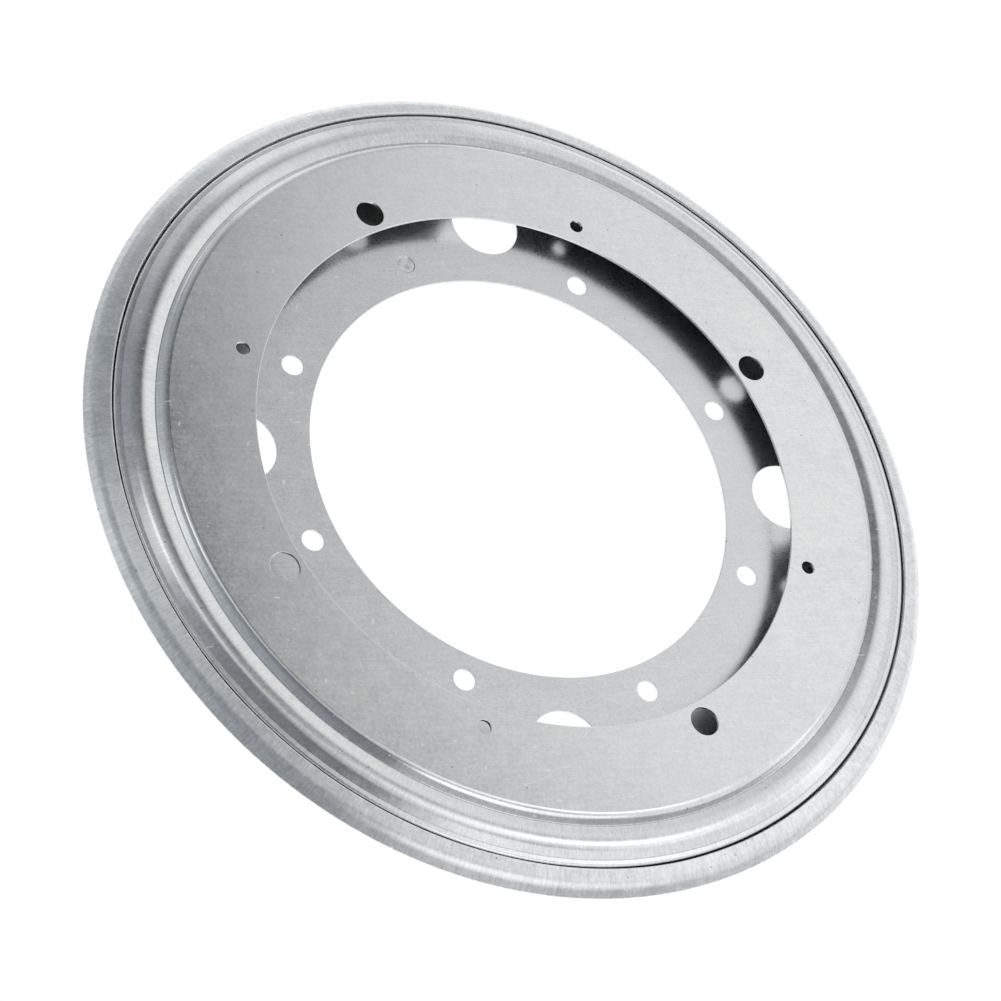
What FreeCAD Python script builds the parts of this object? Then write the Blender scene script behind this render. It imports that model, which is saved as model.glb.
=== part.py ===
import FreeCAD, Part
import math
import os

os.makedirs("parts", exist_ok=True)

# ---------------------------------------------------------------- dimensions (mm, degrees)
SHEET = 1.0                 # thickness of both pressed steel plates

# lower plate: the one that is screwed down, its rim folded back over the upper plate
LOWER_INNER_R = 76.2        # clear opening
LAND_START_R = 126.8        # where the flat turns up into the inner land of the ball track
LAND_RISE = 1.0             # height of the two lands above the flat
TRACK_R = 135.6             # radius of the ball track
TRACK_GROOVE_R = 3.3        # groove radius on the ball side
TRACK_SLOPE = 28.0          # slope of the groove's flanks
LAND_END_R = 142.4          # where the outer land is back down on the flat
RIM_CORNER_R = 152.99       # sharp corner of the folded rim, before rounding
RIM_FOLD_R = 0.47           # outside radius of the tight fold
RIM_SHOULDER = (149.5, 3.6) # where the rim's flank turns in to the lip
RIM_SHOULDER_R = 7.0        # outside
LIP_EDGE = (144.25, 5.2)    # free edge of the lip, top corner

SCREW_HOLE_R = 3.75
SCREW_PITCH_R = 85.725      # 171.45 mm pitch circle
SCREW_STEP = 45.0
STAMP_ANGLE = 180.0         # the eighth place on the circle holds a shallow round stamp, no hole
STAMP_R = 3.3
STAMP_DEPTH = 0.3
ACCESS_R = 12.5             # screwdriver openings
ACCESS_PITCH_R = 100.65
ACCESS_START = 67.5

# upper plate: turns on the balls, held down by the lip
UPPER_TOP = 8.8
UPPER_INNER_R = 97.3
STEP_TOP_R = 127.65         # flat and step meet here, before rounding
STEP_R = 3.0                # radius of that soft turn, middle of the sheet
VALLEY = (130.02, 5.76)     # sharp corner at the bottom of the step, middle of the sheet
VALLEY_R = 0.9
CROWN_IN = (133.9, 6.4)  # the bead's inner and outer flanks meet its level top here, before rounding
CROWN_IN_R = 13.5
CROWN_OUT = (136.95, 6.4)
CROWN_OUT_R = 8.8
BEAD_FOOT = (141.2, 4.45)
SHOULDER = (142.9, 4.25)
SHOULDER_R = 0.8
FLANGE_START_R = 143.45
FLANGE_Z = 2.0              # middle of the sheet
FLANGE_OUTER_R = 147.6
LARGE_HOLE_R = 5.0
SMALL_HOLE_R = 2.38
UPPER_PITCH_R = 104.3
LARGE_START = 4.54          # rest position of the upper plate
SMALL_START = 49.54

# balls and their cage
BALL_R = 2.38125            # 3/16 inch ball
BALL_COUNT = 48
BALL_GAP = 0.05             # under the ball
CAGE_INNER_R = 132.3
CAGE_OUTER_R = 138.9
CAGE_Z = 2.08               # slides just above the lands
CAGE_T = 0.7
POCKET_R = 2.5

# ---------------------------------------------------------------- sections
def unit(a, b):
    d = math.hypot(b[0] - a[0], b[1] - a[1])
    return (b[0] - a[0]) / d, (b[1] - a[1]) / d


def offset_path(pts, radii, h):
    """Open polyline moved sideways by h (left is positive), mitred; radii follow so that the sheet stays h thick."""
    out, rad = [], []
    for i, p in enumerate(pts):
        if i in (0, len(pts) - 1):
            u = unit(pts[0], pts[1]) if i == 0 else unit(pts[-2], pts[-1])
            out.append((p[0] - u[1] * h, p[1] + u[0] * h))
            rad.append(0.0)
            continue
        a, b = unit(pts[i - 1], p), unit(p, pts[i + 1])
        n1, n2 = (-a[1], a[0]), (-b[1], b[0])
        k = 1.0 + n1[0] * n2[0] + n1[1] * n2[1]
        out.append((p[0] + h * (n1[0] + n2[0]) / k, p[1] + h * (n1[1] + n2[1]) / k))
        left_turn = a[0] * b[1] - a[1] * b[0] > 0
        rad.append(radii[i] - h if left_turn else radii[i] + h)
    return out, rad


def section_face(pts, radii):
    """Closed section in the XZ plane, with a radius on each corner that has one."""
    n = len(pts)
    seg = []
    for i in range(n):
        p, r = pts[i], radii[i]
        if r <= 1e-6:
            seg.append((p, p, None))
            continue
        a, b = unit(p, pts[i - 1]), unit(p, pts[(i + 1) % n])
        half = math.acos(max(-1.0, min(1.0, a[0] * b[0] + a[1] * b[1]))) / 2
        t = r / math.tan(half)
        p1, p2 = (p[0] + a[0] * t, p[1] + a[1] * t), (p[0] + b[0] * t, p[1] + b[1] * t)
        m = (a[0] + b[0], a[1] + b[1])
        ml = math.hypot(*m)
        k = r / math.sin(half) - r
        seg.append((p1, p2, (p[0] + m[0] / ml * k, p[1] + m[1] / ml * k)))
    vec = lambda q: FreeCAD.Vector(q[0], 0, q[1])
    edges = []
    for i in range(n):
        p1, p2, mid = seg[i]
        if mid is not None:
            edges.append(Part.Arc(vec(p1), vec(mid), vec(p2)).toShape())
        q = seg[(i + 1) % n][0]
        if math.hypot(q[0] - p2[0], q[1] - p2[1]) > 1e-5:
            edges.append(Part.makeLine(vec(p2), vec(q)))
    return Part.Face(Part.Wire(edges))


def revolve(face):
    return face.revolve(FreeCAD.Vector(0, 0, 0), FreeCAD.Vector(0, 0, 1), 360)


def polar(r, deg, z=0.0):
    a = math.radians(deg)
    return FreeCAD.Vector(r * math.cos(a), r * math.sin(a), z)


def hole(r, pitch, deg, z0, z1):
    return Part.makeCylinder(r, z1 - z0, polar(pitch, deg, z0), FreeCAD.Vector(0, 0, 1))


def save(shape, name):
    solids = shape.Solids
    if len(solids) != 1:
        raise ValueError(name + " has %d solids" % len(solids))
    solid = solids[0]
    if not solid.isValid() or not solid.isClosed():
        raise ValueError(name + " isn't a valid closed solid")
    solid.exportStep("parts/%s.step" % name)
    print("%-14s %9.1f mm3" % (name, solid.Volume))


# ---------------------------------------------------------------- lower plate
h = SHEET / 2
tan_s = math.tan(math.radians(TRACK_SLOPE))
groove_mid = TRACK_GROOVE_R + h
groove_z = h - groove_mid * (1 / math.cos(math.radians(TRACK_SLOPE)) - 1)
land_z = h + LAND_RISE
reach = (land_z - groove_z) / tan_s
mid_pts = [
    (LOWER_INNER_R, h),
    (LAND_START_R, h),
    (LAND_START_R + 1.9, land_z),
    (TRACK_R - reach, land_z),
    (TRACK_R, groove_z),
    (TRACK_R + reach, land_z),
    (LAND_END_R - 1.9, land_z),
    (LAND_END_R, h),
    (RIM_CORNER_R - 2.2, h),
]
mid_rad = [0, 1.5, 1.5, 1.4, groove_mid, 1.4, 1.3, 1.3, 0]
top_pts, top_rad = offset_path(mid_pts, mid_rad, h)
bot_pts, bot_rad = offset_path(mid_pts, mid_rad, -h)

flank = unit((RIM_CORNER_R, 0), RIM_SHOULDER)
lip = unit(RIM_SHOULDER, LIP_EDGE)
outer = [(RIM_CORNER_R, 0.0), RIM_SHOULDER, LIP_EDGE]
inner, _ = offset_path(outer, [0, RIM_SHOULDER_R, 0], SHEET)
# crease: the lip's underside meets the top of the flat
k = (SHEET - inner[0][1]) / flank[1]
crease = (inner[0][0] + flank[0] * k, SHEET)

pts = bot_pts[:-1] + [outer[0], outer[1], outer[2], inner[2], inner[1], crease] + top_pts[:-1][::-1]
rad = bot_rad[:-1] + [RIM_FOLD_R, RIM_SHOULDER_R, 0.25, 0.15, RIM_SHOULDER_R - SHEET, 0.12] + top_rad[:-1][::-1]
lower = revolve(section_face(pts, rad))
cuts = [hole(ACCESS_R, ACCESS_PITCH_R, ACCESS_START + 90 * i, -1, 3) for i in range(4)]
for i in range(8):
    a = i * SCREW_STEP
    if abs(a - STAMP_ANGLE) < 1:
        cuts.append(hole(STAMP_R, SCREW_PITCH_R, a, SHEET - STAMP_DEPTH, 3))
    else:
        cuts.append(hole(SCREW_HOLE_R, SCREW_PITCH_R, a, -1, 3))
for c in cuts:
    lower = lower.cut(c)
save(lower, "lower_plate")

# ---------------------------------------------------------------- upper plate
up_mid = [
    (UPPER_INNER_R, UPPER_TOP - h),
    (STEP_TOP_R, UPPER_TOP - h),
    VALLEY,
    CROWN_IN,
    CROWN_OUT,
    BEAD_FOOT,
    SHOULDER,
    (FLANGE_START_R, FLANGE_Z),
    (FLANGE_OUTER_R, FLANGE_Z),
]
up_rad = [0, STEP_R, VALLEY_R, CROWN_IN_R, CROWN_OUT_R, 0.8, SHOULDER_R, 0.8, 0]
t_pts, t_rad = offset_path(up_mid, up_rad, h)
b_pts, b_rad = offset_path(up_mid, up_rad, -h)
upper = revolve(section_face(b_pts + t_pts[::-1], b_rad + t_rad[::-1]))
for i in range(4):
    upper = upper.cut(hole(LARGE_HOLE_R, UPPER_PITCH_R, LARGE_START + 90 * i, 6, 10))
    upper = upper.cut(hole(SMALL_HOLE_R, UPPER_PITCH_R, SMALL_START + 90 * i, 6, 10))
save(upper, "upper_plate")

# ---------------------------------------------------------------- cage and balls
cage = Part.makeCylinder(CAGE_OUTER_R, CAGE_T, FreeCAD.Vector(0, 0, CAGE_Z)).cut(
    Part.makeCylinder(CAGE_INNER_R, CAGE_T + 2, FreeCAD.Vector(0, 0, CAGE_Z - 1))
)
pockets = [hole(POCKET_R, TRACK_R, 360.0 / BALL_COUNT * i, CAGE_Z - 1, CAGE_Z + CAGE_T + 1) for i in range(BALL_COUNT)]
cage = cage.cut(Part.makeCompound(pockets))
save(cage, "ball_cage")

for i in range(BALL_COUNT):
    ball = Part.makeSphere(BALL_R, polar(TRACK_R, 360.0 / BALL_COUNT * i, SHEET + BALL_GAP + BALL_R))
    save(ball, "ball_%02d" % (i + 1))

print("ball to upper plate %.3f, to lower plate %.3f, to cage %.3f" % tuple(ball.distToShape(s)[0] for s in (upper, lower, cage)))
print("plate to plate %.3f, cage to lower plate %.3f" % (lower.distToShape(upper)[0], cage.distToShape(lower)[0]))
for n, s in (("lower", lower), ("upper", upper)):
    b = s.BoundBox
    print(n, [round(v, 3) for v in (b.XMin, b.YMin, b.ZMin, b.XMax, b.YMax, b.ZMax)])
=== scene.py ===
import math

import bpy
from mathutils import Matrix, Quaternion, Vector


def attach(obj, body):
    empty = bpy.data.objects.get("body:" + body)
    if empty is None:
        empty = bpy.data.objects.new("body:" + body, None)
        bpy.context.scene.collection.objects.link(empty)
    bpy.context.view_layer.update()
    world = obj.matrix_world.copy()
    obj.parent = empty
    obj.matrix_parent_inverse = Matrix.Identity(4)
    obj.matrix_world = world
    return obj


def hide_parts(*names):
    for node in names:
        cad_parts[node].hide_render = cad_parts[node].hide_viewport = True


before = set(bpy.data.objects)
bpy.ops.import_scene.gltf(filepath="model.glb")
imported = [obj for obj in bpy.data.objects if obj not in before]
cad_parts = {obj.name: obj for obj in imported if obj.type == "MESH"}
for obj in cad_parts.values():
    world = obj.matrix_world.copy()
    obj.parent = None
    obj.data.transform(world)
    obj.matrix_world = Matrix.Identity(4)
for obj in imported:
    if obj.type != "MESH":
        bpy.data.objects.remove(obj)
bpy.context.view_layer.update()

MM = 0.001
N = 432                      # steps round the ring
TAU = 2 * math.pi

# ---------------------------------------------------------------- sections, in mm
SHEET = 1.0
EDGE = 0.17                  # rounding of a sheared edge


def unit(a, b):
    d = math.hypot(b[0] - a[0], b[1] - a[1])
    return (b[0] - a[0]) / d, (b[1] - a[1]) / d


def offset_path(pts, radii, h):
    out, rad = [], []
    for i, p in enumerate(pts):
        if i in (0, len(pts) - 1):
            u = unit(pts[0], pts[1]) if i == 0 else unit(pts[-2], pts[-1])
            out.append((p[0] - u[1] * h, p[1] + u[0] * h))
            rad.append(0.0)
            continue
        a, b = unit(pts[i - 1], p), unit(p, pts[i + 1])
        n1, n2 = (-a[1], a[0]), (-b[1], b[0])
        k = 1.0 + n1[0] * n2[0] + n1[1] * n2[1]
        out.append((p[0] + h * (n1[0] + n2[0]) / k, p[1] + h * (n1[1] + n2[1]) / k))
        rad.append(radii[i] - h if a[0] * b[1] - a[1] * b[0] > 0 else radii[i] + h)
    return out, rad


def rounded(pts, radii, step=9.0, longest=1.6):
    """Closed section, anticlockwise: points with outward normals. Each corner becomes an arc."""
    n, runs = len(pts), []
    for i in range(n):
        p, r = pts[i], max(radii[i], 0.02)
        a, b = unit(p, pts[i - 1]), unit(p, pts[(i + 1) % n])
        half = math.acos(max(-1.0, min(1.0, a[0] * b[0] + a[1] * b[1]))) / 2
        t = r / math.tan(half)
        m = (a[0] + b[0], a[1] + b[1])
        ml = math.hypot(*m)
        c = (p[0] + m[0] / ml * r / math.sin(half), p[1] + m[1] / ml * r / math.sin(half))
        p1, p2 = (p[0] + a[0] * t, p[1] + a[1] * t), (p[0] + b[0] * t, p[1] + b[1] * t)
        a1, a2 = math.atan2(p1[1] - c[1], p1[0] - c[0]), math.atan2(p2[1] - c[1], p2[0] - c[0])
        d = (a2 - a1 + math.pi) % TAU - math.pi
        k = max(2, math.ceil(abs(math.degrees(d)) / step))
        sign = 1 if d > 0 else -1          # a corner that turns left is convex
        runs.append([((c[0] + r * math.cos(a1 + d * j / k), c[1] + r * math.sin(a1 + d * j / k)),
                      (sign * math.cos(a1 + d * j / k), sign * math.sin(a1 + d * j / k))) for j in range(k + 1)])
    return runs


class Shell:
    """Collects points, normals and faces, in mm, then makes one mesh object."""

    def __init__(self, phase=0.0):
        self.v, self.n, self.f, self.phase = [], [], [], math.radians(phase)

    def add(self, p, n):
        self.v.append(p)
        self.n.append(n)
        return len(self.v) - 1

    def ring(self, r, z, nr, nz, wobble=None):
        first = len(self.v)
        for j in range(N):
            a = self.phase + TAU * j / N
            c, s = math.cos(a), math.sin(a)
            dr, dz = wobble(a, r, z) if wobble else (0.0, 0.0)
            self.add(((r + dr) * c, (r + dr) * s, z + dz), (nr * c, nr * s, nz))
        return [first + j for j in range(N)]

    def band(self, a, b, skip=()):
        """Quads between two rings; outward is to the right of a to b in the section."""
        for j in range(N):
            if j in skip:
                continue
            k = (j + 1) % N
            self.f.append((a[j], a[k], b[k], b[j]))

    def object(self, name, material, body):
        mesh = bpy.data.meshes.new(name)
        mesh.from_pydata([(x * MM, y * MM, z * MM) for x, y, z in self.v], [], self.f)
        mesh.polygons.foreach_set("use_smooth", [True] * len(mesh.polygons))
        mesh.update()
        mesh.normals_split_custom_set_from_vertices([Vector(n).normalized() for n in self.n])
        mesh.materials.append(material)
        o = bpy.data.objects.new(name, mesh)
        bpy.context.scene.collection.objects.link(o)
        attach(o, body)
        return o


def flat(shell, radii, z, up, holes, inner, outer):
    """A flat ring from shared ring `inner` (radii[0]) to shared ring `outer` (radii[-1]), open at each hole. Returns the loop round each hole.
    holes: (pitch radius, angle in degrees, radius, margin)."""
    nz = 1.0 if up else -1.0
    rings = [inner] + [shell.ring(r, z, 0, nz) for r in radii[1:-1]] + [outer]
    cut, windows = set(), []
    for pitch, deg, rad, margin in holes:
        a0 = (math.radians(deg) - shell.phase) % TAU
        reach = rad + margin
        ks = [k for k in range(len(radii) - 1) if radii[k + 1] > pitch - reach and radii[k] < pitch + reach]
        w = math.asin(reach / pitch) / (TAU / N)
        j0, j1 = math.floor(a0 / (TAU / N) - w), math.ceil(a0 / (TAU / N) + w)
        cells = {(k, j % N) for k in ks for j in range(j0, j1)}
        cut |= cells
        loop = [rings[ks[0]][j % N] for j in range(j0, j1)] + [rings[k][j1 % N] for k in range(ks[0], ks[-1] + 1)]
        loop += [rings[ks[-1] + 1][j % N] for j in range(j1, j0, -1)] + [rings[k][j0 % N] for k in range(ks[-1] + 1, ks[0], -1)]
        windows.append(loop)
    for k in range(len(radii) - 1):
        for j in range(N):
            if (k, j) in cut:
                continue
            i = (j + 1) % N
            q = (rings[k][j], rings[k + 1][j], rings[k + 1][i], rings[k][i])
            shell.f.append(q if up else q[::-1])
    loops = []
    for (pitch, deg, rad, margin), loop in zip(holes, windows):
        cx, cy = pitch * math.cos(math.radians(deg)), pitch * math.sin(math.radians(deg))
        edge = rad + EDGE
        dirs, far = [], []
        for i in loop:
            dx, dy = shell.v[i][0] - cx, shell.v[i][1] - cy
            far.append(math.hypot(dx, dy))
            dirs.append(math.atan2(dy, dx))
        # the loop runs against the clock seen from above when it starts along the inner arc; directions are even near the hole
        order = 1 if sum((dirs[(k + 1) % len(dirs)] - dirs[k] + math.pi) % TAU - math.pi for k in range(len(dirs))) > 0 else -1
        even = [dirs[0] + order * TAU * k / len(dirs) for k in range(len(dirs))]
        off = sum(((d - e + math.pi) % TAU - math.pi) for d, e in zip(dirs, even)) / len(dirs)
        even = [e + off for e in even]
        prev, steps = loop, (0.72, 0.45, 0.2, 0.0)
        for t in steps:
            cur = []
            for d, e, fr in zip(dirs, even, far):
                turn = (d - e + math.pi) % TAU - math.pi
                a, rr = e + turn * t, edge + (fr - edge) * t
                cur.append(shell.add((cx + rr * math.cos(a), cy + rr * math.sin(a), z), (0, 0, nz)))
            for k in range(len(loop)):
                m = (k + 1) % len(loop)
                q = (prev[k], prev[m], cur[m], cur[k])
                shell.f.append(q if (order > 0) == up else q[::-1])
            prev = cur
        loops.append((prev, cx, cy, rad, order))
    return loops


def hole_wall(shell, top, bottom, z_top, z_bottom):
    """Joins the loop round a hole in the top flat to the one in the bottom flat, over two rounded edges."""
    loop, cx, cy, rad, order = top
    angles = [math.atan2(shell.v[i][1] - cy, shell.v[i][0] - cx) for i in loop]
    prev = loop
    levels = []
    for t in (30, 60, 90):
        s, c = math.sin(math.radians(t)), math.cos(math.radians(t))
        levels.append((rad + EDGE * (1 - s), z_top - EDGE * (1 - c), s, c))
    for t in (90, 60, 30):
        s, c = math.sin(math.radians(t)), math.cos(math.radians(t))
        levels.append((rad + EDGE * (1 - s), z_bottom + EDGE * (1 - c), s, -c))
    for r, z, nh, nz in levels:
        cur = [shell.add((cx + r * math.cos(a), cy + r * math.sin(a), z), (-nh * math.cos(a), -nh * math.sin(a), nz)) for a in angles]
        for k in range(len(cur)):
            m = (k + 1) % len(cur)
            q = (prev[k], prev[m], cur[m], cur[k])
            shell.f.append(q if order > 0 else q[::-1])
        prev = cur
    low = bottom[0]
    for k in range(len(low)):
        m = (k + 1) % len(low)
        q = (prev[k], prev[m], low[m], low[k])
        shell.f.append(q if order > 0 else q[::-1])


def spread(stops):
    """Ring radii from (start, end, step) runs."""
    out = []
    for a, b, s in stops:
        k = max(1, round((b - a) / s))
        out += [a + (b - a) * i / k for i in range(k)]
    return out + [stops[-1][1]]


def lathe(shell, runs, flats, wobble=None):
    """Revolves the section. flats: corner index i -> (ring runs, holes, up) for the straight from corner i to corner i + 1. Returns hole loops by corner."""
    n, rings, found = len(runs), [], {}
    for run in runs:
        rings.append([shell.ring(p[0], p[1], q[0], q[1], wobble) for p, q in run])
    for i in range(n):
        for a, b in zip(rings[i], rings[i][1:]):
            shell.band(a, b)
        (p, pn), (q, qn) = runs[i][-1], runs[(i + 1) % n][0]
        a, b = rings[i][-1], rings[(i + 1) % n][0]
        if i in flats:
            stops, holes, up = flats[i]
            lo, hi = (p, q) if p[0] < q[0] else (q, p)
            radii = spread([(lo[0] if s is None else s, hi[0] if e is None else e, st) for s, e, st in stops])
            inner, outer = (a, b) if p[0] < q[0] else (b, a)
            found[i] = flat(shell, radii, p[1], up, holes, inner, outer)
            continue
        length = math.hypot(q[0] - p[0], q[1] - p[1])
        k = max(1, math.ceil(length / 1.5)) if length > 1.5 else 1
        prev = a
        for j in range(1, k):
            t = j / k
            cur = shell.ring(p[0] + (q[0] - p[0]) * t, p[1] + (q[1] - p[1]) * t, pn[0], pn[1], wobble)
            shell.band(prev, cur)
            prev = cur
        shell.band(prev, b)
    return found


# ---------------------------------------------------------------- numbers shared with the solid model, in mm
LOWER_INNER_R, LAND_START_R, LAND_RISE = 76.2, 126.8, 1.0
TRACK_R, TRACK_GROOVE_R, TRACK_SLOPE, LAND_END_R = 135.6, 3.3, 28.0, 142.4
RIM_CORNER_R, RIM_FOLD_R, RIM_SHOULDER, RIM_SHOULDER_R, LIP_EDGE = 152.99, 0.47, (149.5, 3.6), 7.0, (144.25, 5.2)
SCREW_HOLE_R, SCREW_PITCH_R, STAMP_R, STAMP_DEPTH = 3.75, 85.725, 3.3, 0.3
ACCESS_R, ACCESS_PITCH_R, ACCESS_START = 12.5, 100.65, 67.5
UPPER_TOP, UPPER_INNER_R, STEP_TOP_R, STEP_R = 8.8, 97.3, 127.65, 3.0
VALLEY, VALLEY_R, BEAD_FOOT, SHOULDER, SHOULDER_R = (130.02, 5.76), 0.9, (141.2, 4.45), (142.9, 4.25), 0.8
CROWN_IN, CROWN_IN_R, CROWN_OUT, CROWN_OUT_R = (133.9, 6.4), 13.5, (136.95, 6.4), 8.8
FLANGE_START_R, FLANGE_Z, FLANGE_OUTER_R = 143.45, 2.0, 147.6
LARGE_HOLE_R, SMALL_HOLE_R, UPPER_PITCH_R, LARGE_START, SMALL_START = 5.0, 2.38, 104.3, 4.54, 49.54
h = SHEET / 2


# ---------------------------------------------------------------- materials
class Nodes:
    """A small hand for building one material's node tree. Lengths in the coordinates are in mm."""

    def __init__(self, name):
        self.mat = bpy.data.materials.new(name)
        self.mat.use_nodes = True
        self.tree = self.mat.node_tree
        self.shader = self.tree.nodes["Principled BSDF"]

    def put(self, socket, value):
        if isinstance(value, bpy.types.NodeSocket):
            self.tree.links.new(value, socket)
        else:
            socket.default_value = value

    def node(self, kind, inputs, out=0, **props):
        n = self.tree.nodes.new(kind)
        for k, v in props.items():
            setattr(n, k, v)
        for k, v in inputs.items():
            self.put(n.inputs[k], v)
        return n.outputs[out]

    def math(self, op, a, b=0.0, c=0.0, clamp=False):
        return self.node("ShaderNodeMath", {0: a, 1: b, 2: c}, operation=op, use_clamp=clamp)

    def vec(self, op, a, b=(0, 0, 0), out=0):
        return self.node("ShaderNodeVectorMath", {0: a, 1: b}, out, operation=op)

    def noise(self, vector, scale, detail=2.0, rough=0.5, warp=0.0):
        return self.node("ShaderNodeTexNoise", {"Vector": vector, "Scale": scale, "Detail": detail, "Roughness": rough, "Distortion": warp}, "Fac")

    def step(self, value, lo, hi, a=0.0, b=1.0, kind="SMOOTHSTEP"):
        return self.node("ShaderNodeMapRange", {"Value": value, "From Min": lo, "From Max": hi, "To Min": a, "To Max": b}, interpolation_type=kind)

    def place(self):
        """mm coordinates, radius, and the direction round the ring times its radius in whole turns of no seam."""
        p = self.vec("MULTIPLY", self.node("ShaderNodeTexCoord", {}, "Object"), (1000, 1000, 1000))
        xyz = self.tree.nodes.new("ShaderNodeSeparateXYZ")
        self.put(xyz.inputs[0], p)
        flat_p = self.node("ShaderNodeCombineXYZ", {0: xyz.outputs[0], 1: xyz.outputs[1]})
        r = self.vec("LENGTH", flat_p, out=1)
        return p, xyz, flat_p, r

    def turned(self, p, degrees, sx, sy, sz=1.0, shift=(0, 0, 0)):
        """p turned so that X runs along degrees, then scaled: sx along, sy across."""
        return self.node("ShaderNodeMapping", {"Vector": self.node("ShaderNodeMapping", {"Vector": p, "Rotation": (0, 0, -math.radians(degrees))}),
                                               "Scale": (sx, sy, sz), "Location": shift})

    def round_marks(self, xyz, r, along, across):
        """Coordinates for marks that run outwards: `along` mm long, `across` mm wide round the ring, with no seam."""
        u = self.math("DIVIDE", xyz.outputs[0], r)
        v = self.math("DIVIDE", xyz.outputs[1], r)
        k = 145.0 / across
        return self.node("ShaderNodeCombineXYZ", {0: self.math("MULTIPLY", u, k), 1: self.math("MULTIPLY", v, k),
                                                  2: self.math("DIVIDE", r, along)})

    def sum(self, *terms):
        """terms: (socket, weight); each socket is taken about 0.5."""
        out = None
        for socket, weight in terms:
            t = self.math("MULTIPLY_ADD", socket, weight, -0.5 * weight)
            out = t if out is None else self.math("ADD", out, t)
        return out


def dashes(g, p, degrees, along, across, size, share, shift):
    """Short scratches along one direction: cells of along x across mm, a dash in some of them, size in cells."""
    q = g.turned(p, degrees, 1.0 / along, 1.0 / across, 0.0, shift)
    v = g.tree.nodes.new("ShaderNodeTexVoronoi")
    v.voronoi_dimensions = "2D"
    g.put(v.inputs["Vector"], q)
    g.put(v.inputs["Scale"], 1.0)
    keep = g.tree.nodes.new("ShaderNodeSeparateColor")
    g.put(keep.inputs[0], v.outputs["Color"])
    return g.math("MULTIPLY", g.step(v.outputs["Distance"], size, size * 0.55), g.math("LESS_THAN", keep.outputs[0], share))


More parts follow.
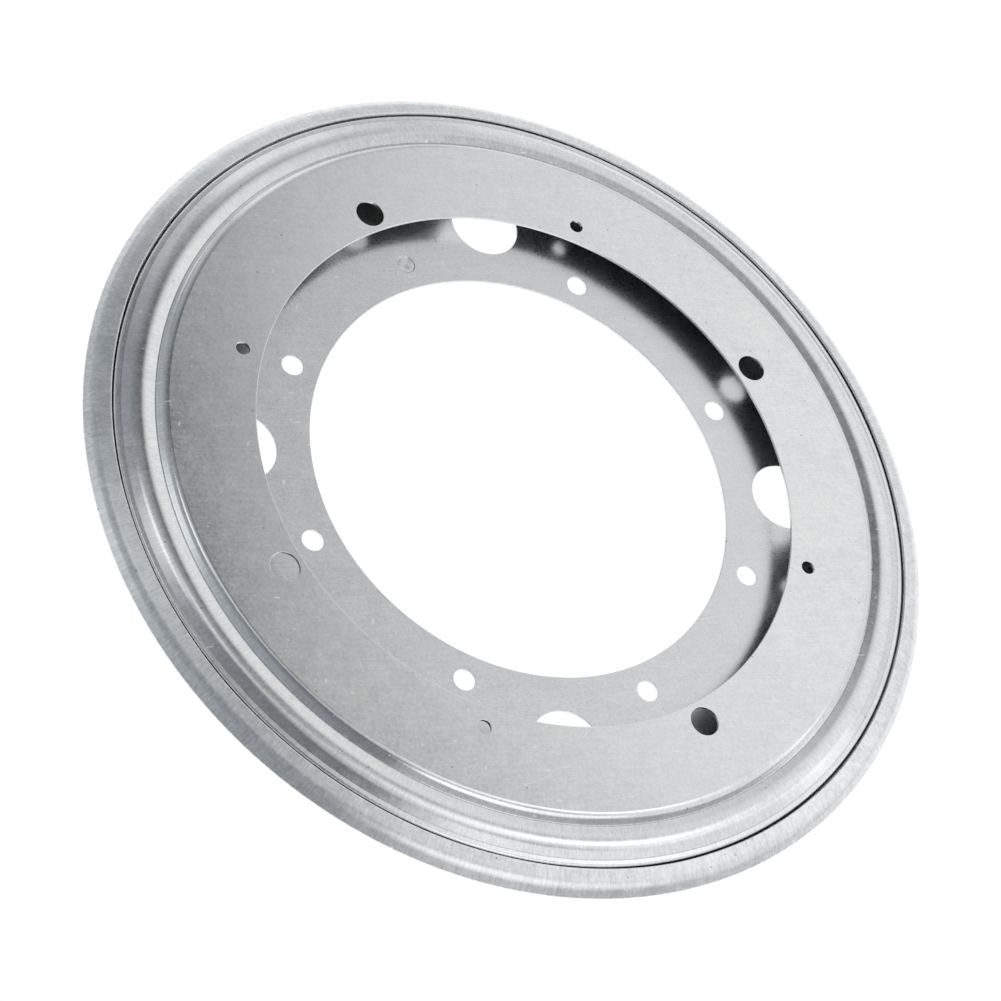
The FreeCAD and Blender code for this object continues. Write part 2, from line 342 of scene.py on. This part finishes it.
def zinc_sheet(name, grain, drawn, tint, rough, seed, bare_edge_and_highlight, lively, crease_grime_and_painted_light=()):
    """Galvanised sheet: mottled zinc, rolling lines along `grain` degrees, marks of the press tool beyond the radius
    `drawn`, a few scratches, a bare sheared edge with a painted highlight along it, and painted shade with some grime,
    plus one painted highlight line, in the creases.
    """
    g = Nodes(name)
    p, xyz, flat_p, r = g.place()
    off = g.vec("ADD", p, (seed * 37.0, seed * 11.0, seed * 5.0))
    mottle = g.noise(off, 0.9, 2.0, 0.65)
    patch = g.noise(off, 0.16, 1.0, 0.55, 0.6)
    cloud = g.noise(off, 0.035, 1.0, 0.5, 0.8)
    lines = g.noise(g.turned(p, grain, 0.10, 1.7, 0.3, (seed, 0, 0)), 1.0, 2.0, 0.6)
    broad = g.noise(g.turned(p, grain, 0.018, 0.22, 0.1, (seed * 2, 0, 0)), 1.0, 2.0, 0.55)
    out_marks = g.noise(g.round_marks(xyz, r, 3.2, 0.55), 1.0, 2.0, 0.6)
    out_broad = g.noise(g.round_marks(xyz, r, 30.0, 3.5), 1.0, 2.0, 0.55)
    press = g.step(r, drawn[0], drawn[1])                       # 0 on the flat, 1 where the sheet was drawn
    still = g.math("SUBTRACT", 1.0, press)
    scratch = g.math("ADD", dashes(g, p, grain, 26.0, 7.0, 0.055, 0.22, (seed, 3, 0)),
                     g.math("ADD", dashes(g, p, grain + 68, 37.0, 14.0, 0.035, 0.25, (2, seed, 0)),
                            dashes(g, p, grain - 31, 31.0, 9.0, 0.03, 0.3, (5, seed, 0))), clamp=True)
    speck = g.math("ADD", dashes(g, p, 11, 9.0, 9.0, 0.035, 0.3, (seed, 9, 0)), dashes(g, p, 47, 21.0, 21.0, 0.022, 0.4, (4, seed, 0)), clamp=True)
    # colour
    mark = g.math("ADD", scratch, speck, clamp=True)
    tone = g.sum((mottle, 0.34), (patch, 0.14), (cloud, 0.10), (broad, 0.05))
    tone = g.math("ADD", tone, g.math("MULTIPLY", still, g.sum((lines, 0.18))))
    tone = g.math("ADD", tone, g.math("MULTIPLY", press, g.sum((out_marks, 0.34 * lively), (out_broad, 0.06 * lively), (mottle, 0.25 * (lively - 1)), (patch, 0.2 * (lively - 1)))))
    tone = g.math("ADD", tone, g.math("MULTIPLY", mark, 0.2))
    edge = g.step(g.math("ABSOLUTE", g.math("SUBTRACT", r, bare_edge_and_highlight[0])), bare_edge_and_highlight[1], bare_edge_and_highlight[1] * 0.5)   # sheared edge: bare steel, rougher, with a painted highlight along it (tone raised)
    tone = g.math("ADD", g.math("ADD", tone, 1.0), g.math("MULTIPLY", edge, 0.12))
    pit = g.math("ADD", dashes(g, p, 33, 23.0, 17.0, 0.022, 0.35, (seed, 6, 0)), dashes(g, p, 84, 11.0, 13.0, 0.02, 0.12, (8, seed, 0)), clamp=True)
    tone = g.math("ADD", tone, g.math("MULTIPLY", pit, -0.4))
    for where, wide, crease_tone_shift in crease_grime_and_painted_light:                            # painted shade with some grime in the tight creases of the section; a positive amount paints a highlight line instead
        painted_crease_mask = g.step(g.math("ABSOLUTE", g.math("SUBTRACT", r, where)), wide, wide * 0.3)
        tone = g.math("ADD", tone, g.math("MULTIPLY", painted_crease_mask, g.math("MULTIPLY_ADD", patch, crease_tone_shift, crease_tone_shift * 0.5)))
    colour = g.vec("MULTIPLY", g.node("ShaderNodeCombineXYZ", {0: tone, 1: tone, 2: g.math("MULTIPLY_ADD", tone, 0.94, 0.06)}), tint)
    g.put(g.shader.inputs["Base Color"], colour)
    g.put(g.shader.inputs["Metallic"], 1.0)
    # roughness
    base = g.math("ADD", g.step(r, drawn[0], drawn[1], rough[0], rough[1], "LINEAR"), g.step(r, drawn[2], drawn[3], 0.0, rough[2] - rough[1], "LINEAR"))
    base = g.math("ADD", base, g.sum((mottle, 0.12), (patch, 0.06), (cloud, 0.05), (lines, 0.05)))
    base = g.math("ADD", base, g.math("MULTIPLY", g.math("ADD", mark, edge), 0.14))
    g.put(g.shader.inputs["Roughness"], g.math("MAXIMUM", base, 0.08))
    # relief, in micrometres
    relief = g.sum((mottle, 3.6), (patch, 6.0), (cloud, 12.0))
    relief = g.math("ADD", relief, g.math("MULTIPLY", still, g.sum((lines, 1.8))))
    relief = g.math("ADD", relief, g.math("MULTIPLY", press, g.sum((out_marks, 3.0 * lively))))
    g.put(g.shader.inputs["Normal"], g.node("ShaderNodeBump", {"Height": relief, "Distance": 1e-6, "Strength": 1.0}))
    return g.mat


def strip_steel(name):
    """Bright cold-rolled strip for the cage, with a thin oily film."""
    g = Nodes(name)
    p, xyz, flat_p, r = g.place()
    lines = g.noise(g.round_marks(xyz, r, 0.35, 14.0), 1.0, 3.0, 0.6)
    mottle = g.noise(p, 1.1, 3.0, 0.6)
    film = g.noise(p, 0.09, 2.0, 0.5, 1.2)
    tone = g.math("ADD", g.sum((lines, 0.22), (mottle, 0.16), (film, 0.24)), 1.0)
    g.put(g.shader.inputs["Base Color"], g.vec("MULTIPLY", g.node("ShaderNodeCombineXYZ", {0: tone, 1: tone, 2: g.math("MULTIPLY_ADD", tone, 1.05, -0.06)}), (0.55, 0.54, 0.52)))
    g.put(g.shader.inputs["Metallic"], 1.0)
    g.put(g.shader.inputs["Roughness"], g.math("ADD", g.sum((lines, 0.12), (film, 0.18), (mottle, 0.08)), 0.34))
    g.put(g.shader.inputs["Normal"], g.node("ShaderNodeBump", {"Height": g.sum((lines, 3.0), (mottle, 2.0)), "Distance": 1e-6, "Strength": 1.0}))
    return g.mat


def ball_steel(name):
    """Ground and polished balls: fine lapping marks, a few darker wear bands."""
    g = Nodes(name)
    p, xyz, flat_p, r = g.place()
    lap = g.noise(p, 6.0, 3.0, 0.65, 0.8)
    wear = g.noise(p, 0.55, 2.0, 0.5, 1.5)
    tone = g.math("ADD", g.sum((lap, 0.08), (wear, 0.22)), 1.0)
    g.put(g.shader.inputs["Base Color"], g.vec("MULTIPLY", g.node("ShaderNodeCombineXYZ", {0: tone, 1: tone, 2: tone}), (0.70, 0.71, 0.73)))
    g.put(g.shader.inputs["Metallic"], 1.0)
    g.put(g.shader.inputs["Roughness"], g.math("ADD", g.sum((lap, 0.08), (wear, 0.14)), 0.12))
    g.put(g.shader.inputs["Normal"], g.node("ShaderNodeBump", {"Height": g.sum((lap, 0.4)), "Distance": 1e-6, "Strength": 1.0}))
    return g.mat


# (97.3, 0.4) and (144.35, 0.45) mark the bare sheared edges, rougher, each with a painted highlight along it
mat_upper = zinc_sheet("zinc_sheet_upper", 73.0, (127.0, 129.0, 139.0, 143.0), (0.83, 0.84, 0.845), (0.16, 0.19, 0.25), 1.0, (97.3, 0.4), 1.0,
                       # crease lines as radius, half width, tone shift: the negative shifts are painted shade with some
                       # grime, the positive one at 129.85 a painted highlight line
                       ((130.36, 0.22, -0.42), (129.85, 0.25, 0.10), (141.3, 0.3, -0.22), (127.2, 0.7, -0.05)))
mat_lower = zinc_sheet("zinc_sheet_lower", 76.0, (141.5, 145.0, 148.0, 151.0), (0.82, 0.835, 0.845), (0.29, 0.32, 0.34), 2.0, (144.35, 0.45), 1.5)
mat_cage = strip_steel("cage_strip")
mat_ball = ball_steel("ball_steel_polished")

# ---------------------------------------------------------------- upper plate
up_mid = [(UPPER_INNER_R, UPPER_TOP - h), (STEP_TOP_R, UPPER_TOP - h), VALLEY, CROWN_IN, CROWN_OUT, BEAD_FOOT, SHOULDER,
          (FLANGE_START_R, FLANGE_Z), (FLANGE_OUTER_R, FLANGE_Z)]
up_rad = [0, STEP_R, VALLEY_R, CROWN_IN_R, CROWN_OUT_R, 0.8, SHOULDER_R, 0.8, 0]
tp, tr = offset_path(up_mid, up_rad, h)
bp, br = offset_path(up_mid, up_rad, -h)
br[0] = br[-1] = tr[0] = tr[-1] = EDGE
pts, rad = bp + tp[::-1], br + tr[::-1]
n_up = len(bp)
runs = rounded(pts, rad, 8.5)
shell = Shell(phase=LARGE_START)
holes = [(UPPER_PITCH_R, LARGE_START + 90 * i, LARGE_HOLE_R, 3.0) for i in range(4)]
holes += [(UPPER_PITCH_R, SMALL_START + 90 * i, SMALL_HOLE_R, 2.2) for i in range(4)]
stops = [(None, 112.3, 1.25), (112.3, None, 3.5)]
loops = lathe(shell, runs, {0: (stops, holes, False), 2 * n_up - 2: (stops, holes, True)})
for a, b in zip(loops[2 * n_up - 2], loops[0]):
    hole_wall(shell, a, b, UPPER_TOP, UPPER_TOP - SHEET)
upper = shell.object("upper_plate_sheet", mat_upper, "turntable")
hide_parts("upper_plate")

# ---------------------------------------------------------------- lower plate
tan_s = math.tan(math.radians(TRACK_SLOPE))
groove_mid = TRACK_GROOVE_R + h
groove_z = h - groove_mid * (1 / math.cos(math.radians(TRACK_SLOPE)) - 1)
land_z = h + LAND_RISE
reach = (land_z - groove_z) / tan_s
mid_pts = [(LOWER_INNER_R, h), (LAND_START_R, h), (LAND_START_R + 1.9, land_z), (TRACK_R - reach, land_z), (TRACK_R, groove_z),
           (TRACK_R + reach, land_z), (LAND_END_R - 1.9, land_z), (LAND_END_R, h), (RIM_CORNER_R - 2.2, h)]
mid_rad = [0, 1.5, 1.5, 1.4, groove_mid, 1.4, 1.3, 1.3, 0]
tp, tr = offset_path(mid_pts, mid_rad, h)
bp, br = offset_path(mid_pts, mid_rad, -h)
br[0] = tr[0] = EDGE
flank = unit((RIM_CORNER_R, 0), RIM_SHOULDER)
outer = [(RIM_CORNER_R, 0.0), RIM_SHOULDER, LIP_EDGE]
inner, _ = offset_path(outer, [0, RIM_SHOULDER_R, 0], SHEET)
k = (SHEET - inner[0][1]) / flank[1]
crease = (inner[0][0] + flank[0] * k, SHEET)
pts = bp[:-1] + [outer[0], outer[1], outer[2], inner[2], inner[1], crease] + tp[:-1][::-1]
rad = br[:-1] + [RIM_FOLD_R, RIM_SHOULDER_R, 0.25, 0.15, RIM_SHOULDER_R - SHEET, 0.12] + tr[:-1][::-1]
runs = rounded(pts, rad, 10.5)
shell = Shell()
holes = [(ACCESS_PITCH_R, ACCESS_START + 90 * i, ACCESS_R, 2.6) for i in range(4)]
holes += [(SCREW_PITCH_R, 45.0 * i, SCREW_HOLE_R, 2.2) for i in range(8) if i != 4]
stops = [(None, 117.0, 1.6), (117.0, None, 5.5)]
top_holes = holes + [(SCREW_PITCH_R, 180.0, STAMP_R, 2.2)]
last = len(pts) - 2


def folded_edge(a, r, z):
    """The free edge of the folded lip isn't quite round; the rest of the plate is."""
    t = min(1.0, max(0.0, (147.5 - r) / 3.2)) if z > 3.0 else 0.0
    return (0.09 * math.sin(5 * a + 1.0) + 0.06 * math.sin(11 * a + 4.0) + 0.03 * math.sin(23 * a)) * t, 0.07 * math.sin(4 * a + 2.0) * t


loops = lathe(shell, runs, {0: (stops, holes, False), last: (stops, top_holes, True)}, folded_edge)
for a, b in zip(loops[last], loops[0]):
    hole_wall(shell, a, b, SHEET, 0.0)
# the stamped recess: a rounded step down to an uneven floor
loop, cx, cy, r0, order = loops[last][-1]
angles = [math.atan2(shell.v[i][1] - cy, shell.v[i][0] - cx) for i in loop]


def pressed(x, y):
    """Height of the stamp's uneven floor about its middle level, in mm."""
    return 0.035 * math.sin(1.25 * x + 0.5) * math.sin(1.15 * y - 0.5) + 0.012 * math.sin(1.9 * x - 1.4 * y + 0.8)


prev = loop
rows = [(r0 + EDGE * 0.4, SHEET - 0.05, 0.6, 0.8), (r0, SHEET - 0.16, 0.9, 0.4), (r0 - 0.06, SHEET - STAMP_DEPTH + 0.03, 0.6, 0.8)]
rows += [(r0 * f, SHEET - STAMP_DEPTH, 0, 1) for f in (0.94, 0.86, 0.78, 0.7, 0.62, 0.54, 0.46, 0.38, 0.3, 0.22, 0.14, 0.07)]
for r, z, nh, nz in rows:
    cur = []
    for a in angles:
        x, y = cx + r * math.cos(a), cy + r * math.sin(a)
        if nh:
            cur.append(shell.add((x, y, z), (-nh * math.cos(a), -nh * math.sin(a), nz)))
            continue
        u, v, e = x - cx, y - cy, 0.01
        cur.append(shell.add((x, y, z + pressed(u, v)), ((pressed(u - e, v) - pressed(u + e, v)) / (2 * e), (pressed(u, v - e) - pressed(u, v + e)) / (2 * e), 1.0)))
    for k in range(len(cur)):
        m = (k + 1) % len(cur)
        q = (prev[k], prev[m], cur[m], cur[k])
        shell.f.append(q if order > 0 else q[::-1])
    prev = cur
mid = shell.add((cx, cy, SHEET - STAMP_DEPTH + pressed(0, 0)), (0, 0, 1))
for k in range(len(prev)):
    q = (prev[k], prev[(k + 1) % len(prev)], mid)
    shell.f.append(q if order > 0 else q[::-1])
lower = shell.object("lower_plate_sheet", mat_lower, "base")
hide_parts("lower_plate")

# ---------------------------------------------------------------- cage and balls keep their solids
for name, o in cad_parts.items():
    if name.startswith("ball"):
        mat = mat_cage if name == "ball_cage" else mat_ball
        o.data.materials.clear()
        o.data.materials.append(mat)
        if name != "ball_cage":
            o.data.polygons.foreach_set("use_smooth", [True] * len(o.data.polygons))

# ---------------------------------------------------------------- floor, light, camera
mesh = bpy.data.meshes.new("floor")
S = 3.0
mesh.from_pydata([(-S, -S, -0.0003), (S, -S, -0.0003), (S, S, -0.0003), (-S, S, -0.0003)], [], [(0, 1, 2, 3)])
floor = bpy.data.objects.new("floor", mesh)
bpy.context.scene.collection.objects.link(floor)
# a pale table, bright enough all over that no shadow shows on it
fm = bpy.data.materials.new("floor_white")
fm.use_nodes = True
ft = fm.node_tree
ft.nodes["Principled BSDF"].inputs["Base Color"].default_value = (0.1, 0.1, 0.1, 1)
ft.nodes["Principled BSDF"].inputs["Roughness"].default_value = 1.0
ft.nodes["Principled BSDF"].inputs["Specular IOR Level"].default_value = 0.0
ft.nodes["Principled BSDF"].inputs["Emission Color"].default_value = (1, 1, 1, 1)
ft.nodes["Principled BSDF"].inputs["Emission Strength"].default_value = 0.97
mesh.materials.append(fm)


def towards(x, y):
    """Direction of a light: x and y are degrees from straight up, along X and Y."""
    t, a = math.radians(math.hypot(x, y)), math.atan2(y, x)
    return Vector((math.sin(t) * math.cos(a), math.sin(t) * math.sin(a), math.cos(t)))


GAIN = 1.22


def softbox(name, x, y, spread_deg, level, away=4.0):
    """A round soft light, far off, as wide as spread_deg to each side, as bright as level."""
    light = bpy.data.lights.new(name, "AREA")
    light.shape = "DISK"
    light.size = 2 * away * math.tan(math.radians(spread_deg))
    light.energy = GAIN * level * math.pi * math.pi * (light.size / 2) ** 2
    o = bpy.data.objects.new(name, light)
    d = towards(x, y)
    o.location = d * away
    o.rotation_mode = "QUATERNION"
    o.rotation_quaternion = d.to_track_quat("Z", "Y")
    o.visible_camera = False
    bpy.context.scene.collection.objects.link(o)
    return o


softbox("softbox_near_left", -23, -15, 7, 0.75)
softbox("softbox_near_left_high", -12, -3, 6, 0.30)

# the room: pale walls, a little cooler on the dark side, with wide soft glows where its large softboxes are
world = bpy.data.worlds.new("studio")
bpy.context.scene.world = world
world.use_nodes = True
wt = world.node_tree


def wnode(kind, inputs, out=0, **props):
    n = wt.nodes.new(kind)
    for k, v in props.items():
        setattr(n, k, v)
    for k, v in inputs.items():
        if isinstance(v, bpy.types.NodeSocket):
            wt.links.new(v, n.inputs[k])
        else:
            n.inputs[k].default_value = v
    return n.outputs[out]


way = wnode("ShaderNodeTexCoord", {}, "Generated")
glow = None
for x, y, spread_deg, soft, level in ((-30, 86, 56.2, 2.5, 0.30), (72, 72, 93.4, 2.5, 0.30), (40, 38, 23.0, 5.0, 0.36), (43, -4, 19.6, 5.0, 0.50),
                                      (37, -8, 9.0, 5.0, 0.50), (9, 25, 14.0, 5.0, 0.36), (6, 27, 6.5, 3.0, 0.55), (6, 5, 12.0, 5.0, 0.33),
                                      (-14, 10, 12.0, 5.0, 0.18), (-20, -4, 8.0, 4.0, 0.20), (1, 49, 21.2, 5.0, 0.10), (-59, 27, 23.6, 6.0, 0.13),
                                      (-72, 24, 16.0, 8.0, 0.15), (-40, -68, 13.0, 6.0, 0.45)):
    near = wnode("ShaderNodeVectorMath", {0: way, 1: towards(x, y)}, "Value", operation="DOT_PRODUCT")
    lobe = wnode("ShaderNodeMapRange", {"Value": near, "From Min": math.cos(math.radians(spread_deg + soft)), "From Max": math.cos(math.radians(spread_deg - soft)),
                                        "To Min": 0.0, "To Max": level}, interpolation_type="SMOOTHSTEP")
    glow = lobe if glow is None else wnode("ShaderNodeMath", {0: glow, 1: lobe}, operation="ADD")
lean = wnode("ShaderNodeVectorMath", {0: way, 1: (-0.168, -0.240, 0.0)}, "Value", operation="DOT_PRODUCT")
room = wnode("ShaderNodeMath", {0: lean, 1: 0.092}, operation="ADD")
room = wnode("ShaderNodeMath", {0: room, 1: 0.02}, operation="MAXIMUM")
cool = wnode("ShaderNodeVectorMath", {0: (0.94, 1.0, 1.07), "Scale": room}, operation="SCALE")
warm = wnode("ShaderNodeVectorMath", {0: (1.0, 1.0, 1.0), "Scale": glow}, operation="SCALE")
both = wnode("ShaderNodeVectorMath", {0: cool, 1: warm}, operation="ADD")
wt.links.new(both, wt.nodes["Background"].inputs["Color"])
wt.nodes["Background"].inputs["Strength"].default_value = GAIN

cam_data = bpy.data.cameras.new("camera")
cam = bpy.data.objects.new("camera", cam_data)
bpy.context.scene.collection.objects.link(cam)
cam_data.lens = 101.9083
cam_data.sensor_width = 36.0
cam_data.clip_start, cam_data.clip_end = 0.01, 20
cam.location = (0.268217, -0.539799, 0.736478)
cam.rotation_mode = "QUATERNION"
cam.rotation_quaternion = (0.7922717, 0.3283602, -0.0373884, 0.5129203)
bpy.context.scene.camera = cam
bpy.context.scene.view_settings.view_transform = "Standard"
bpy.context.scene.view_settings.look = "None"
